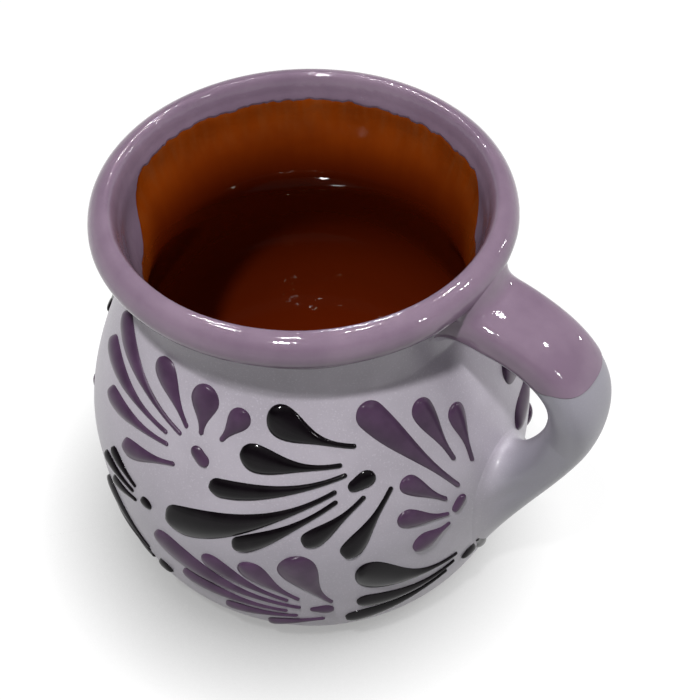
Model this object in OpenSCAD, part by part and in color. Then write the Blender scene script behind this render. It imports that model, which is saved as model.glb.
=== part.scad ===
// Clay mug: a thrown pot with a round belly, a flared collar and a rolled lip, and a strap
// handle luted on at collar and belly. Slip and glaze are thin coats over the clay, and the
// belly carries two rows of raised fans, each a set of teardrop strokes round an oval dot.
// The mug stands on z = 0 with its axis on z, and the handle points along +x.

/* [Pot] */
// Height to the top of the lip
mug_h = 100; // [92:1:115]
// Widest diameter of the rolled lip
lip_d = 90; // [84:1:98]
// Height of the rolled lip
lip_h = 8; // [6:0.5:10]
// How far the roll stands out from the collar
lip_roll = 4; // [3:0.25:5]
// Thickness of the lip inside its crown
lip_in = 1.5; // [1:0.25:2.5]
// Height from the crease under the collar to the top of the lip
collar_h = 22; // [18:1:28]
// Diameter at that crease
neck_d = 77.2; // [70:0.2:82]
// How far the shoulder leans in at the crease, per unit of height
neck_lean = 0.52; // [0.3:0.02:0.7]
// Widest diameter of the belly
belly_d = 103.4; // [96:0.2:114]
// Height of the widest part of the belly
belly_z = 38; // [34:1:44]
// Diameter of the flat foot
foot_d = 78; // [70:1:84]
// Thickness of the wall at the belly, coats included
belly_wall = 4.8; // [4:0.1:7]
// Thickness of the wall at the neck, coats included
neck_wall = 3.8; // [3:0.1:5]
// Thickness of the floor, coat included
floor_t = 6.5; // [5:0.5:10]
// Diameter of the flat part of the floor inside
floor_d = 56; // [46:1:62]

/* [Coats] */
// Thickness of slip and glaze
coat_t = 0.5; // [0.3:0.1:0.9]
// Air between a coat and what it lies on
coat_gap = 0.05; // [0.02:0.01:0.1]
// Height of the bare clay above the foot
bare_foot = 3; // [2:0.5:5]
// How far the lip glaze reaches down into the mouth
rim_band = 9; // [5:0.5:13]
// How far the lip glaze reaches down the collar, below the roll
rim_skirt = 4; // [1:0.5:8]

/* [Handle] */
// How far the upper root lies below the top of the lip
top_drop = 12.2; // [10:0.2:14]
// Height of the lower root on the belly
low_z = 38; // [34:1:44]
// Run of the strap straight out from the collar before it turns
top_run = 27.5; // [22:0.5:32]
// Run of the strap up and out from the belly before it turns
low_run = 42.5; // [36:0.5:48]
// Rise of the strap where it leaves the belly, in degrees
low_angle = 48; // [42:1:56]
// Width of the strap over its upper half
strap_top_w = 17.6; // [15:0.2:22]
// Width of the strap at its waist, above the lower root
strap_low_w = 12; // [10:0.2:16]
// Thickness of the strap over its upper half
strap_top_t = 9; // [7:0.2:12]
// Thickness of the strap at its waist
strap_low_t = 8.4; // [7:0.2:11]
// Extra width where the strap spreads into the collar
top_flare_w = 3.6; // [0:0.2:6]
// Extra thickness where the strap spreads into the collar
top_flare_t = 0; // [0:0.2:3]
// Extra width where the strap spreads into the belly
low_flare_w = 5.6; // [0:0.2:8]
// Extra thickness where the strap spreads into the belly
low_flare_t = 4.2; // [0:0.2:6]
// Squareness of the strap's section, 2 is an ellipse
strap_square = 2.6; // [2:0.1:4]
// How far down the strap the glaze tongue runs, as a share of the strap
tongue_end = 0.45; // [0.35:0.01:0.6]
// How far the tongue wraps round the strap to each side, in degrees
tongue_wrap = 105; // [75:15:135]

/* [Strokes] */
// How far a stroke stands up from the slip
stroke_rise = 1.1; // [0.6:0.1:1.6]
// Air between a stroke and the slip
stroke_seat = 0.15; // [0.14:0.01:0.25]
// Width of a stroke's thin end
tail_w = 1.2; // [0.8:0.1:1.6]
// Turn from the near set of fans to its copy on the far side, in degrees
far_turn = 175; // [170:1:178]
// Distance from the middle of a dot to the strokes, in the fans that fill the gaps
fill_gap = 6; // [5:0.5:7]
// Length of the long strokes in those fans
fill_long = 17; // [13:0.5:18]
// Length of the short strokes in those fans
fill_short = 11; // [8:0.5:13]
// Half width of a head in those fans
fill_head = 2.9; // [2:0.1:3.2]
// Half width of a head in the fan beside the handle
beside_head = 4.2; // [3:0.1:4.6]

/* [Hidden] */
$fn = 96;

terracotta = "#b5673f";
lilac = "#928d91";
mauve = "#806d81";
amber = "#6a2706";
violet = "#503d51";
black = "#161116";

curve_steps = 12;
lip_steps = 6;
lip_r = lip_d / 2;
neck_r = neck_d / 2;
belly_r = belly_d / 2;
foot_r = foot_d / 2;
neck_z = mug_h - collar_h;
lip_c = [lip_r - lip_roll, mug_h - lip_h / 2];
lip_in_h = 0.6 * lip_h / 2;

function bezier(p, t) =
  pow(1 - t, 3) * p[0] + 3 * t * pow(1 - t, 2) * p[1] + 3 * t * t * (1 - t) * p[2] + pow(t, 3) * p[3];
function bezier_run(p, t) =
  pow(1 - t, 2) * (p[1] - p[0]) + 2 * t * (1 - t) * (p[2] - p[1]) + t * t * (p[3] - p[2]);
function curve(p, n) = [for (i = [0:n]) bezier(p, i / n)];
function arc(c, r, from, to, n) =
  [for (i = [0:n]) let (a = from + (to - from) * i / n) c + [r[0] * cos(a), r[1] * sin(a)]];
function but_first(list) = [for (i = [1:len(list) - 1]) list[i]];
function reverse(list) = [for (i = [len(list) - 1:-1:0]) list[i]];
function span(list, from, to) = [for (i = [from:to]) list[i]];

// The finished surface: from the foot up the outside, over the lip and down to the floor
heel_out = 9;
heel_up = 2;
low_pull = 18;
high_pull = 12;
neck_pull = 12;
heel_line = curve([[foot_r, 0], [foot_r + heel_out, heel_up], [belly_r, belly_z - low_pull],
  [belly_r, belly_z]], curve_steps);
shoulder_line = curve([[belly_r, belly_z], [belly_r, belly_z + high_pull],
  [neck_r + neck_lean * neck_pull, neck_z - neck_pull], [neck_r, neck_z]], curve_steps);
slip_edge = [lookup(bare_foot, [for (p = heel_line) [p[1], p[0]]]), bare_foot];
edge_room = 0.3;
belly_line = concat([for (p = heel_line) if (p[1] < bare_foot - edge_room) p], [slip_edge],
  [for (p = heel_line) if (p[1] > bare_foot + edge_room) p], but_first(shoulder_line));
collar_c = [lip_c[0], neck_z];
collar_size = [lip_c[0] - neck_r, collar_h - lip_h];
skirt_angle = asin(1 - rim_skirt / collar_size[1]);
collar_line = concat(arc(collar_c, collar_size, 180, 180 - skirt_angle, lip_steps),
  but_first(arc(collar_c, collar_size, 180 - skirt_angle, 90, lip_steps)));
lip_line = concat(arc(lip_c, [lip_roll, lip_h / 2], -90, 90, 2 * lip_steps),
  but_first(arc([lip_c[0], mug_h - lip_in_h], [lip_in, lip_in_h], 90, 180, lip_steps)));
mouth = [lip_c[0] - lip_in, mug_h - lip_in_h];
throat = [neck_r - neck_wall, neck_z];
band_share = (rim_band - lip_in_h) / (collar_h - lip_in_h);
band_edge = mouth + (throat - mouth) * band_share;
inner_r = belly_r - belly_wall;
vault_line = reverse(curve([[inner_r, belly_z], [inner_r, belly_z + high_pull],
  throat + [neck_lean * neck_pull, -neck_pull], throat], curve_steps));
bowl_line = reverse(curve([[floor_d / 2, floor_t], [floor_d / 2 + heel_out, floor_t + heel_up / 2],
  [inner_r, belly_z - low_pull], [inner_r, belly_z]], curve_steps));
outside = concat(belly_line, but_first(collar_line));
rim = concat(but_first(lip_line), [band_edge]);
inside = concat([throat], but_first(vault_line), but_first(bowl_line), [[0, floor_t]]);
surface = concat(outside, rim, inside);

slip_first = search(bare_foot, [for (p = surface) p[1]])[0];
lip_first = len(outside) - 1;
slip_last = lip_first - lip_steps;
rim_last = lip_first + len(rim);
crown = lip_first + 2 * lip_steps;
floor_last = len(surface) - 1;

// A point of the surface, sunk into the clay by the given depth
function sunk(i, depth) = let (
  before = surface[max(i - 1, 0)],
  after = i == floor_last ? [-1, surface[i][1]] : surface[i + 1],
  run = (after - before) / norm(after - before))
  surface[i] + depth * [-run[1], run[0]];
function clay_depth(i) = coat_t * min(1, surface[i][1] / surface[slip_first][1]);
clay_line = [for (i = [1:floor_last]) sunk(i, clay_depth(i))];
function clay_face(out) = concat([[0, 0], [foot_r, 0]],
  [for (i = [1:crown]) sunk(i, clay_depth(i) - out)],
  [[0, sunk(crown, coat_t - out)[1]]]);

module coat(from, to) {
  rotate_extrude()
    polygon(concat(span(surface, from, to),
      reverse([for (i = [from:to]) sunk(i, coat_t - coat_gap)])));
}

// The strap: a rounded oblong carried along one curve from the collar to the belly
roll_under = span(lip_line, 1, lip_steps);
function wall_r(z) = lookup(z, [for (p = concat(outside, roll_under)) [p[1], p[0]]]);
top_z = mug_h - top_drop;
top_root = [wall_r(top_z), top_z];
low_root = [wall_r(low_z), low_z];
strap_line = [top_root, top_root + [top_run, 0],
  low_root + low_run * [cos(low_angle), sin(low_angle)], low_root];
flare_share = 0.25;
waist_from = 0.5;
waist_to = 0.8;
root_in = 0.06;
strap_rings = 34;
strap_sides = 24;
function flare(t) = [pow(max(0, 1 - t / flare_share), 2), pow(max(0, 1 - (1 - t) / flare_share), 2)];
function eased(x) = x <= 0 ? 0 : x >= 1 ? 1 : x * x * (3 - 2 * x);
function waist(t) = eased((t - waist_from) / (waist_to - waist_from));
function strap_half(t) = [
  strap_top_w + (strap_low_w - strap_top_w) * waist(t) + flare(t) * [top_flare_w, low_flare_w],
  strap_top_t + (strap_low_t - strap_top_t) * waist(t) + flare(t) * [top_flare_t, low_flare_t]] / 2;
function squared(x) = sign(x) * pow(abs(x), 2 / strap_square);
function strap_point(t, turn, grow) = let (
  c = bezier(strap_line, t),
  run = bezier_run(strap_line, t) / norm(bezier_run(strap_line, t)),
  half = strap_half(t) + [grow, grow],
  lift = half[1] * squared(cos(turn)))
  [c[0] - run[1] * lift, half[0] * squared(sin(turn)), c[1] + run[0] * lift];

function tube_walls(rings, sides) = [for (i = [0:rings - 2], j = [0:sides - 1]) let (
  a = i * sides + j,
  b = i * sides + (j + 1) % sides)
  each [[a, b, b + sides], [a, b + sides, a + sides]]];
function tube_faces(rings, sides) = concat(tube_walls(rings, sides),
  [for (j = [1:sides - 2]) [0, j + 1, j]],
  [for (j = [1:sides - 2]) let (k = (rings - 1) * sides) [k, k + j, k + j + 1]]);
function skin_end(last) = [for (j = [0:last - 1]) let (
  k = 2 * last - j)
  each [[j, j + 1, k], [j, k, k + 1]]];
function skin_faces(rings, last) = let (sides = 2 * (last + 1)) concat(tube_walls(rings, sides),
  [for (f = skin_end(last)) reverse(f)],
  [for (f = skin_end(last)) [for (i = f) i + (rings - 1) * sides]]);

module strap(from, to, rings, grow) {
  points = [for (i = [0:rings - 1], j = [0:strap_sides - 1])
    strap_point(from + (to - from) * i / (rings - 1), 360 * j / strap_sides, grow)];
  polyhedron(points, tube_faces(rings, strap_sides));
}

// The place that the strap's roots take up in the coats
module root_seats() {
  root_rings = 8;
  root_out = 0.14;
  difference() {
    union() {
      strap(-root_in, root_out, root_rings, coat_gap);
      strap(1 - root_out, 1 + root_in, root_rings, coat_gap);
    }
    rotate_extrude() polygon(clay_face(-coat_t));
  }
}

// The glaze tongue: a skin over the outer face of the strap, from the lip to a rounded end
tongue_gap = 0.12;
tongue_straight = 11;
tongue_bend = 8;
tongue_sides = 2 * round(tongue_wrap * strap_sides / 360);
tongue_round = 0.16;
tongue_clear = 0.45;
tongue_step = 0.25;
function wall_x(p, clear) = sqrt(pow(wall_r(p[2]) + clear, 2) - p[1] * p[1]);
function at_wall(turn, grow) = let (
  near = strap_point(0, turn, grow),
  t = (wall_x(near, tongue_clear) - top_root[0]) / (3 * top_run),
  p = strap_point(t, turn, grow))
  [wall_x(p, tongue_clear), p[1], p[2]];
function off_wall(p, i) = [max(p[0], wall_x(p, tongue_clear + tongue_step * i)), p[1], p[2]];
function tongue_point(i, t, turn, grow) =
  i == 0 ? at_wall(turn, grow) : off_wall(strap_point(t, turn, grow), i);
function tongue_ring(i, t, reach) = let (
  turns = [for (j = [0:tongue_sides]) reach * (2 * j / tongue_sides - 1)])
  concat([for (a = turns) tongue_point(i, t, a, tongue_gap + coat_t)],
    [for (a = reverse(turns)) tongue_point(i, t, a, tongue_gap)]);

// Strokes lie on the belly: a place is [degrees round the mug, height as drawn on the sheet]
sheet_r = 51.7;
sheet_h = 78;
crease_clear = 0.6;
stroke_step = 5;
stroke_scale = sqrt(belly_r / sheet_r * neck_z / sheet_h);
function wall_lean(z) = atan2(wall_r(z - 1) - wall_r(min(z + 1, neck_z)), min(z + 1, neck_z) - z + 1);
function per_degree(z) = PI * wall_r(z) / 180;
function per_height(z) = 1 / cos(wall_lean(z));
function placed(p) = [p[0], p[1] * neck_z / sheet_h];
function moved(p, step) = [p[0] + step[0] / per_degree(p[1]), p[1] + step[1] / per_height(p[1])];
function between(p, q) = let (z = (p[1] + q[1]) / 2)
  [(q[0] - p[0]) * per_degree(z), (q[1] - p[1]) * per_height(z)];
function on_wall(p, lift) = let (
  z = min(p[1], neck_z - crease_clear),
  r = wall_r(z) + lift * cos(wall_lean(z)))
  [r * cos(p[0]), r * sin(p[0]), z + lift * sin(wall_lean(z))];

// One cross section of a stroke: flat below, domed above
function stroke_ring(c, side, half) = let (
  rise = stroke_rise * min(1, half / stroke_rise),
  shoulder = 0.72)
  [on_wall(moved(c, -side * half), stroke_seat),
   on_wall(moved(c, -side * half * shoulder), stroke_seat + rise * shoulder),
   on_wall(c, stroke_seat + rise),
   on_wall(moved(c, side * half * shoulder), stroke_seat + rise * shoulder),
   on_wall(moved(c, side * half), stroke_seat),
   on_wall(c, stroke_seat)];

// Half width along a teardrop: thin tail, swelling head, round end
function teardrop(u, reach, head, swell) = u < reach
  ? tail_w / 2 + (head - tail_w / 2) * pow(pow(u / reach, 2) * (3 - 2 * u / reach), swell)
  : head * sqrt(max(0, 1 - pow((u - reach) / head, 2)));

// A stroke is [tail angle, tail height, head angle, head height, half width of the head, bend, swell],
// and a greater swell keeps the tail thin for longer
module stroke(s) {
  tail = placed([s[0], s[1]]);
  end = placed([s[2], s[3]]);
  head = s[4] * stroke_scale;
  reach = norm(between(tail, end));
  run = between(tail, end) / reach;
  side = [-run[1], run[0]];
  total = reach + head;
  steps = max(3, ceil(reach / stroke_step));
  along = concat([for (i = [0:steps]) reach * i / steps], [for (a = [40, 75]) reach + head * sin(a)]);
  points = [for (u = along) let (
    sag = 4 * s[5] * u / total * (1 - u / total),
    lean = 4 * s[5] * (1 - 2 * u / total) / total,
    c = moved(tail + (end - tail) * u / reach, side * sag),
    turned = (side - run * lean) / norm(side - run * lean))
    each stroke_ring(c, turned, teardrop(u, reach, head, s[6]))];
  polyhedron(points, tube_faces(len(along), 6));
}

// A dot is [angle and height of its thin tip, angle and height of its thick end, half width of each]
module dot(d) {
  tip = placed([d[0], d[1]]);
  end = placed([d[2], d[3]]);
  thin = d[4] * stroke_scale;
  thick = d[5] * stroke_scale;
  reach = norm(between(tip, end));
  side = [-between(tip, end)[1], between(tip, end)[0]] / reach;
  thin_at = min(thin, 0.8 * reach);
  along = concat([for (a = [75, 40]) [thin_at * (1 - sin(a)), thin * cos(a)]],
    [[thin_at, thin], [reach, thick]],
    [for (a = [40, 75]) [reach + thick * sin(a), thick * cos(a)]]);
  points = [for (p = along) each stroke_ring(tip + (end - tip) * p[0] / reach, side, p[1])];
  polyhedron(points, tube_faces(len(along), 6));
}

module fan(middle, strokes) {
  dot(middle);
  for (s = strokes) stroke(s);
}

// Fans on the near side
violet_high = [
  [-93, 65, -129, 74, 3.2, 0, 1.7], [-97.5, 63.5, -131, 66.3, 3.1, 0, 1.6],
  [-96.5, 61.2, -122, 59, 2.6, 0, 1.6], [-93.5, 57.8, -110, 52.8, 2.5, 0, 1.6],
  [-91.5, 67, -104.2, 75, 3.1, -0.5, 1.6], [-87, 67, -87.7, 74.2, 3.5, 0, 1.5],
  [-81, 67.3, -76.2, 72.8, 2.5, 0, 1.5]];
black_high = [
  [-43.8, 67.6, -63.3, 74, 3.7, 1, 2.3], [-48, 64.2, -70.8, 65.7, 3.4, 0.7, 2.2],
  [-47, 62, -79.8, 57, 2.5, 0.6, 1.5], [-50, 58.6, -90, 44, 4.4, 0.4, 1.5],
  [-50, 56.3, -73.5, 43.6, 2.5, 0, 2.1], [-43, 56.4, -56.5, 47, 2.5, 0, 2.1],
  [-35.9, 56.9, -47.2, 43, 2.6, -0.2, 2.1]];
violet_side = [
  [-17.5, 49, -38.8, 72.9, 3.4, -0.8, 1.6], [-17.3, 56, -23, 70.1, 2.8, 0, 1.7],
  [-11.8, 52.5, -12.8, 65.2, 2.5, 0, 2.3], [-21.7, 47.6, -31.3, 55.9, 2.3, 0, 1.6],
  [-21.5, 43.2, -32.9, 47.6, 2.5, 0.2, 1.6], [-21.3, 40.3, -28.5, 38.3, 3.2, 0, 1.6]];
violet_low = [
  [-60.5, 20.8, -95.5, 32, 4.3, 0.7, 1.8], [-63.5, 24, -82, 34, 2.9, 0.5, 2],
  [-60.7, 24.8, -71.8, 34.9, 3.3, 0.4, 2], [-52.5, 23.2, -60, 37.6, 4.5, 1, 1.6],
  [-64, 18.7, -89.5, 22.8, 2.9, 0.4, 1.6], [-61.5, 16.3, -79, 15.3, 2.2, 0, 1.5],
  [-54.5, 14.5, -68, 10.3, 2, -0.6, 1.5]];
black_low = [
  [-17.6, 25.2, -41.4, 33.7, 4.8, 2.9, 2], [-18, 22.3, -43, 21.8, 2.9, 1.7, 1.6],
  [-20, 19.6, -45.6, 13.8, 3, 0.9, 1.6], [-9.5, 23, -5, 16.8, 1.9, 0, 1.3]];
sprig = [
  [-106, 44.2, -116, 46.8, 1.8, 0, 1.5], [-107, 42, -120, 42, 2, 0, 1.5],
  [-106, 39.8, -116, 37.4, 1.8, 0, 1.5]];

// Each set of fans stands twice, near and far
module near_and_far() {
  children();
  rotate(far_turn) children();
}

// Fans that fill the gaps, [angle, height, first direction, last direction, strokes, half width]
violet_fill = [[38, 52, 125, 190, 3, beside_head], [35, 20, 120, 200, 4, fill_head],
  [200, 24, 60, 195, 5, fill_head]];
black_fill = [[200, 57, 60, 195, 5, fill_head], [259, 17, 150, 200, 3, fill_head]];
fill_dot = 2.1;
fill_dot_turn = 2.8;
fill_swell = 1.5;
steep = 140;
function fill_fan(f) = [for (i = [0:f[4] - 1]) let (
  a = f[2] + (f[3] - f[2]) * i / (f[4] - 1),
  reach = fill_gap + (a > steep ? fill_long : fill_short),
  step = [180 * cos(a) * stroke_scale / (PI * belly_r), sin(a)])
  [f[0] + fill_gap * step[0], f[1] + fill_gap * step[1],
   f[0] + reach * step[0], f[1] + reach * step[1], f[5], 0, fill_swell]];

module fill_fans(fans) {
  for (f = fans) fan([f[0] - fill_dot_turn, f[1], f[0], f[1], fill_dot, fill_dot], fill_fan(f));
}

module pot_wall() {
  color(terracotta)
    rotate_extrude()
      polygon(concat([[0, 0], [foot_r, 0]], clay_line));
}

module handle() {
  color(lilac)
    difference() {
      strap(-root_in, 1 + root_in, strap_rings, 0);
      rotate_extrude() polygon(clay_face(coat_gap));
    }
}

module slip_coat() {
  color(lilac)
    difference() {
      coat(slip_first, slip_last);
      root_seats();
    }
}

module rim_glaze() {
  color(mauve)
    difference() {
      coat(slip_last, rim_last);
      root_seats();
    }
}

module handle_glaze() {
  shoulder = tongue_end - tongue_round;
  blunt = 85;
  points = concat(
    [for (i = [0:tongue_straight - 1]) each tongue_ring(i, shoulder * i / tongue_straight, tongue_wrap)],
    [for (i = [0:tongue_bend]) let (a = blunt * i / tongue_bend)
      each tongue_ring(tongue_straight, shoulder + tongue_round * sin(a), tongue_wrap * cos(a))]);
  color(mauve)
    polyhedron(points, skin_faces(tongue_straight + tongue_bend + 1, tongue_sides));
}

module inside_glaze() {
  color(amber) coat(rim_last, floor_last);
}

module violet_fans_high() {
  color(violet) near_and_far() fan([-88.8, 63.9, -85.6, 61.8, 1.6, 1.7], violet_high);
}

module black_fans_high() {
  color(black) near_and_far() fan([-47, 58.6, -42.2, 60.2, 1.4, 2.1], black_high);
}

module violet_fans_side() {
  color(violet) near_and_far() fan([-20, 42.8, -17.6, 44.8, 1.4, 1.6], violet_side);
}

module violet_fans_low() {
  color(violet) near_and_far() fan([-58.2, 20.1, -54.2, 19.9, 0.8, 1.9], violet_low);
}

module black_fans_low() {
  color(black) near_and_far() fan([-14.8, 20.3, -12, 20.3, 2, 2.1], black_low);
}

module black_sprigs() {
  color(black) near_and_far() fan([-103.9, 42, -101.8, 42, 1.5, 1.6], sprig);
}

module violet_fans_fill() {
  color(violet) fill_fans(violet_fill);
}

module black_fans_fill() {
  color(black) fill_fans(black_fill);
}

pot_wall();
handle();
slip_coat();
rim_glaze();
handle_glaze();
inside_glaze();
violet_fans_high();
black_fans_high();
violet_fans_side();
violet_fans_low();
black_fans_low();
black_sprigs();
violet_fans_fill();
black_fans_fill();
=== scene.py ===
import math

import bpy
import numpy as np
from mathutils import Matrix, Vector, noise


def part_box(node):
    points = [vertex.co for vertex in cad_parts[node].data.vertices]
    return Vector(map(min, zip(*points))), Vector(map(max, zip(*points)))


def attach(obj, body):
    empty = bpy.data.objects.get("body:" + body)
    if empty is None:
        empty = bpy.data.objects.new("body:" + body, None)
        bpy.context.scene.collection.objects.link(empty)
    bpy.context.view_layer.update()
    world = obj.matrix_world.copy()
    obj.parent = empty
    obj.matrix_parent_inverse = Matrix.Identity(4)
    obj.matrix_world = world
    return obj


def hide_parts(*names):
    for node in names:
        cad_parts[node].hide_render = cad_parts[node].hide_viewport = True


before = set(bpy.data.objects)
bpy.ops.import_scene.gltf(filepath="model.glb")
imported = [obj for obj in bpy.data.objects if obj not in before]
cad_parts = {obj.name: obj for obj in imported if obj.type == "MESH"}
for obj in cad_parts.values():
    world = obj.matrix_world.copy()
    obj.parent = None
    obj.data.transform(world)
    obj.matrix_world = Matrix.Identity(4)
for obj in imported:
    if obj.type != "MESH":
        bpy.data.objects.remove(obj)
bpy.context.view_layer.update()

mm = 0.001
print("frame loaded,", len(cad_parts), "nodes")


# Sizes of the pot, as it was thrown
pot = {
    "height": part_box("rim_glaze")[1].z,
    "lipRadius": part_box("rim_glaze")[1].y,
    "lipHeight": 8 * mm,
    "lipRoll": 4 * mm,
    "insideEdge": (38.1 * mm, 92 * mm),  # radius and height
    "insideWaist": (34.9 * mm, 76.5 * mm),
    "crownPull": (1.3 * mm, 0.5 * mm, 4 * mm),  # how the lip's crown rolls in and turns down
    "throatPull": (0.65 * mm, 5 * mm, 7 * mm),  # how the throat leans in to its waist
    "vaultPull": (9 * mm, 18 * mm),  # how the wall swells out again below the waist
    "collarHeight": 22 * mm,
    "neckRadius": 38.6 * mm,
    "neckLean": 0.52,
    "neckPull": 12 * mm,
    "bellyRadius": 51.7 * mm,
    "bellyZ": 38 * mm,
    "bellyPull": (18 * mm, 12 * mm),  # how upright the belly stands, below and above its widest place
    "footRadius": 39 * mm,
    "heel": (9 * mm, 2 * mm),  # how flat the belly leaves the foot
    "bellyWall": 4.8 * mm,
    "floor": 6.5 * mm,
    "floorRadius": 28 * mm,
    "coat": 0.45 * mm,
    "bareFoot": 3 * mm,
    "wobble": 0.12 * mm,  # how far the thrown wall is out of round
    "wobbleSize": 24 * mm,
    "segments": 320,
    "steps": {"under": 12, "belly": 40, "collar": 24, "lip": 36, "crown": 20, "throat": 30, "floor": 30},
}


def bezier(a, b, c, d, steps):
    t = np.linspace(0, 1, steps + 1)[:, None]
    a, b, c, d = (np.array(p, float) for p in (a, b, c, d))
    return (1 - t) ** 3 * a + 3 * t * (1 - t) ** 2 * b + 3 * t * t * (1 - t) * c + t ** 3 * d


def ellipse(centre, size, start, end, steps):
    a = np.radians(np.linspace(start, end, steps + 1))
    return np.column_stack((centre[0] + size[0] * np.cos(a), centre[1] + size[1] * np.sin(a)))


def smooth(x):
    x = np.clip(x, 0, 1)
    return x * x * (3 - 2 * x)


neckZ = pot["height"] - pot["collarHeight"]
lipCentre = (pot["lipRadius"] - pot["lipRoll"], pot["height"] - pot["lipHeight"] / 2)
lipBase = pot["height"] - pot["lipHeight"]
innerRadius = pot["bellyRadius"] - pot["bellyWall"]


def outsideLine():
    belly, steps = (pot["bellyRadius"], pot["bellyZ"]), pot["steps"]
    heel = bezier((pot["footRadius"], 0), (pot["footRadius"] + pot["heel"][0], pot["heel"][1]),
                  (belly[0], belly[1] - pot["bellyPull"][0]), belly, steps["belly"])
    shoulder = bezier(belly, (belly[0], belly[1] + pot["bellyPull"][1]),
                      (pot["neckRadius"] + pot["neckLean"] * pot["neckPull"], neckZ - pot["neckPull"]),
                      (pot["neckRadius"], neckZ), steps["belly"])
    collar = ellipse((lipCentre[0], neckZ), (lipCentre[0] - pot["neckRadius"], lipBase - neckZ), 180, 90,
                     steps["collar"])
    lip = ellipse(lipCentre, (pot["lipRoll"], pot["lipHeight"] / 2), -90, 90, steps["lip"])
    return np.vstack((heel, shoulder[1:], collar[1:], lip[1:]))


def insideLine():
    edge, waist, wide = pot["insideEdge"], pot["insideWaist"], (innerRadius, pot["bellyZ"])
    roll, dip, swell, steps = pot["crownPull"], pot["throatPull"], pot["vaultPull"], pot["steps"]
    crown = bezier((lipCentre[0], pot["height"]), (edge[0] + roll[0], pot["height"]),
                   (edge[0] + roll[1], edge[1] + roll[2]), edge, steps["crown"])
    throat = bezier(edge, (edge[0] - dip[0], edge[1] - dip[1]), (waist[0], waist[1] + dip[2]), waist,
                    steps["throat"])
    vault = bezier(waist, (waist[0], waist[1] - swell[0]), (wide[0], wide[1] + swell[1]), wide,
                   steps["belly"])
    bowl = bezier(wide, (wide[0], wide[1] - pot["bellyPull"][0]),
                  (pot["floorRadius"] + pot["heel"][0], pot["floor"] + pot["heel"][1] / 2),
                  (pot["floorRadius"], pot["floor"]), steps["belly"])
    floor = np.linspace((pot["floorRadius"], pot["floor"]), (0, pot["floor"]), steps["floor"])
    return np.vstack((crown, throat[1:], vault[1:], bowl[1:], floor[1:]))


outside = outsideLine()
inside = insideLine()
crest = int(np.argmax(outside[:, 1]))
widest = int(np.argmin(np.abs(outside[:, 1] - lipCentre[1])))
waistStep = pot["steps"]["crown"] + pot["steps"]["throat"]  # where the inside line has its waist


def wallRadius(z):
    return np.interp(z, outside[:widest + 1, 1], outside[:widest + 1, 0])


def wobble(angle, z):  # a hand-thrown wall is never quite round
    k = 1 / pot["wobbleSize"]
    spot = Vector((math.cos(angle) * pot["bellyRadius"] * k, math.sin(angle) * pot["bellyRadius"] * k, z * k))
    return pot["wobble"] * noise.noise(spot)


def inset(line, depth):  # the line moved into the clay, square to itself
    run = np.gradient(line, axis=0)
    run /= np.linalg.norm(run, axis=1)[:, None]
    return line + np.column_stack((-run[:, 1], run[:, 0])) * np.asarray(depth)[..., None]


def lengths(line):  # how far along the line each of its points lies
    return np.concatenate(([0], np.cumsum(np.linalg.norm(np.diff(line, axis=0), axis=1))))


def cutLine(line, start, end, steps):  # steps points along the line, between two of its lengths
    length = lengths(line)
    at = np.linspace(start, end, steps)
    return np.column_stack((np.interp(at, length, line[:, 0]), np.interp(at, length, line[:, 1])))


def lengthAt(line, z, first, last):  # how far along a rising or falling stretch of the line z lies
    stretch = slice(first, last + 1)
    order = np.argsort(line[stretch, 1])
    return float(np.interp(z, line[stretch, 1][order], lengths(line)[stretch][order]))


def makePiece(name, vertices, faces, material, sharp=40):
    mesh = bpy.data.meshes.new(name)
    mesh.from_pydata([tuple(v) for v in vertices], [], faces)
    mesh.validate()
    mesh.materials.append(material)
    mesh.shade_smooth()
    mesh.set_sharp_from_angle(angle=math.radians(sharp))
    piece = bpy.data.objects.new(name, mesh)
    bpy.context.scene.collection.objects.link(piece)
    return piece


def turned(name, outline, material):
    # outline(angle) is the closed section at that angle; points on the axis share one vertex
    count = pot["segments"]
    angles = [2 * math.pi * k / count for k in range(count)]
    sections = [outline(a) for a in angles]
    size = len(sections[0])
    onAxis = [max(s[i][0] for s in sections) < 1e-6 for i in range(size)]
    vertices, index = [], {}
    for k, (a, section) in enumerate(zip(angles, sections)):
        for i, (r, z) in enumerate(section):
            if onAxis[i] and k:
                index[k, i] = index[0, i]
                continue
            r = r + (0 if onAxis[i] else wobble(a, z))
            index[k, i] = len(vertices)
            vertices.append((r * math.cos(a), r * math.sin(a), z))
    faces = []
    for k in range(count):
        n = (k + 1) % count
        for i in range(size):
            j = (i + 1) % size
            corners = [index[k, i], index[n, i], index[n, j], index[k, j]]
            face = [c for m, c in enumerate(corners) if c not in corners[:m]]
            if len(face) > 2:
                faces.append(face)
    return makePiece(name, vertices, faces, material)


def toLinear(colour):
    parts = [int(colour[i:i + 2], 16) / 255 for i in (1, 3, 5)]
    return tuple(c / 12.92 if c <= 0.04045 else ((c + 0.055) / 1.055) ** 2.4 for c in parts) + (1.0,)


def addNode(tree, kind, settings=None, inputs=None, stops=()):
    node = tree.nodes.new(kind)
    for key, value in (settings or {}).items():
        setattr(node, key, value)
    for key, value in (inputs or {}).items():
        if isinstance(value, bpy.types.NodeSocket):
            tree.links.new(value, node.inputs[key])
        else:
            node.inputs[key].default_value = value
    for i, (position, colour) in enumerate(stops):  # of a colour ramp, in rising order
        band = node.color_ramp.elements
        stop = band[i] if i < len(band) else band.new(position)
        stop.position = position
        stop.color = toLinear(colour) if isinstance(colour, str) else colour
    return node


colourA, colourB, mixed = 6, 7, 2  # a Mix node's colour sockets by number, because others share their names
offOn = ("#000000", "#ffffff")  # for a ramp that is a mask


def newMaterial(name):
    material = bpy.data.materials.new(name)
    material.use_nodes = True
    material.node_tree.nodes.clear()
    return material, material.node_tree


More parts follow.
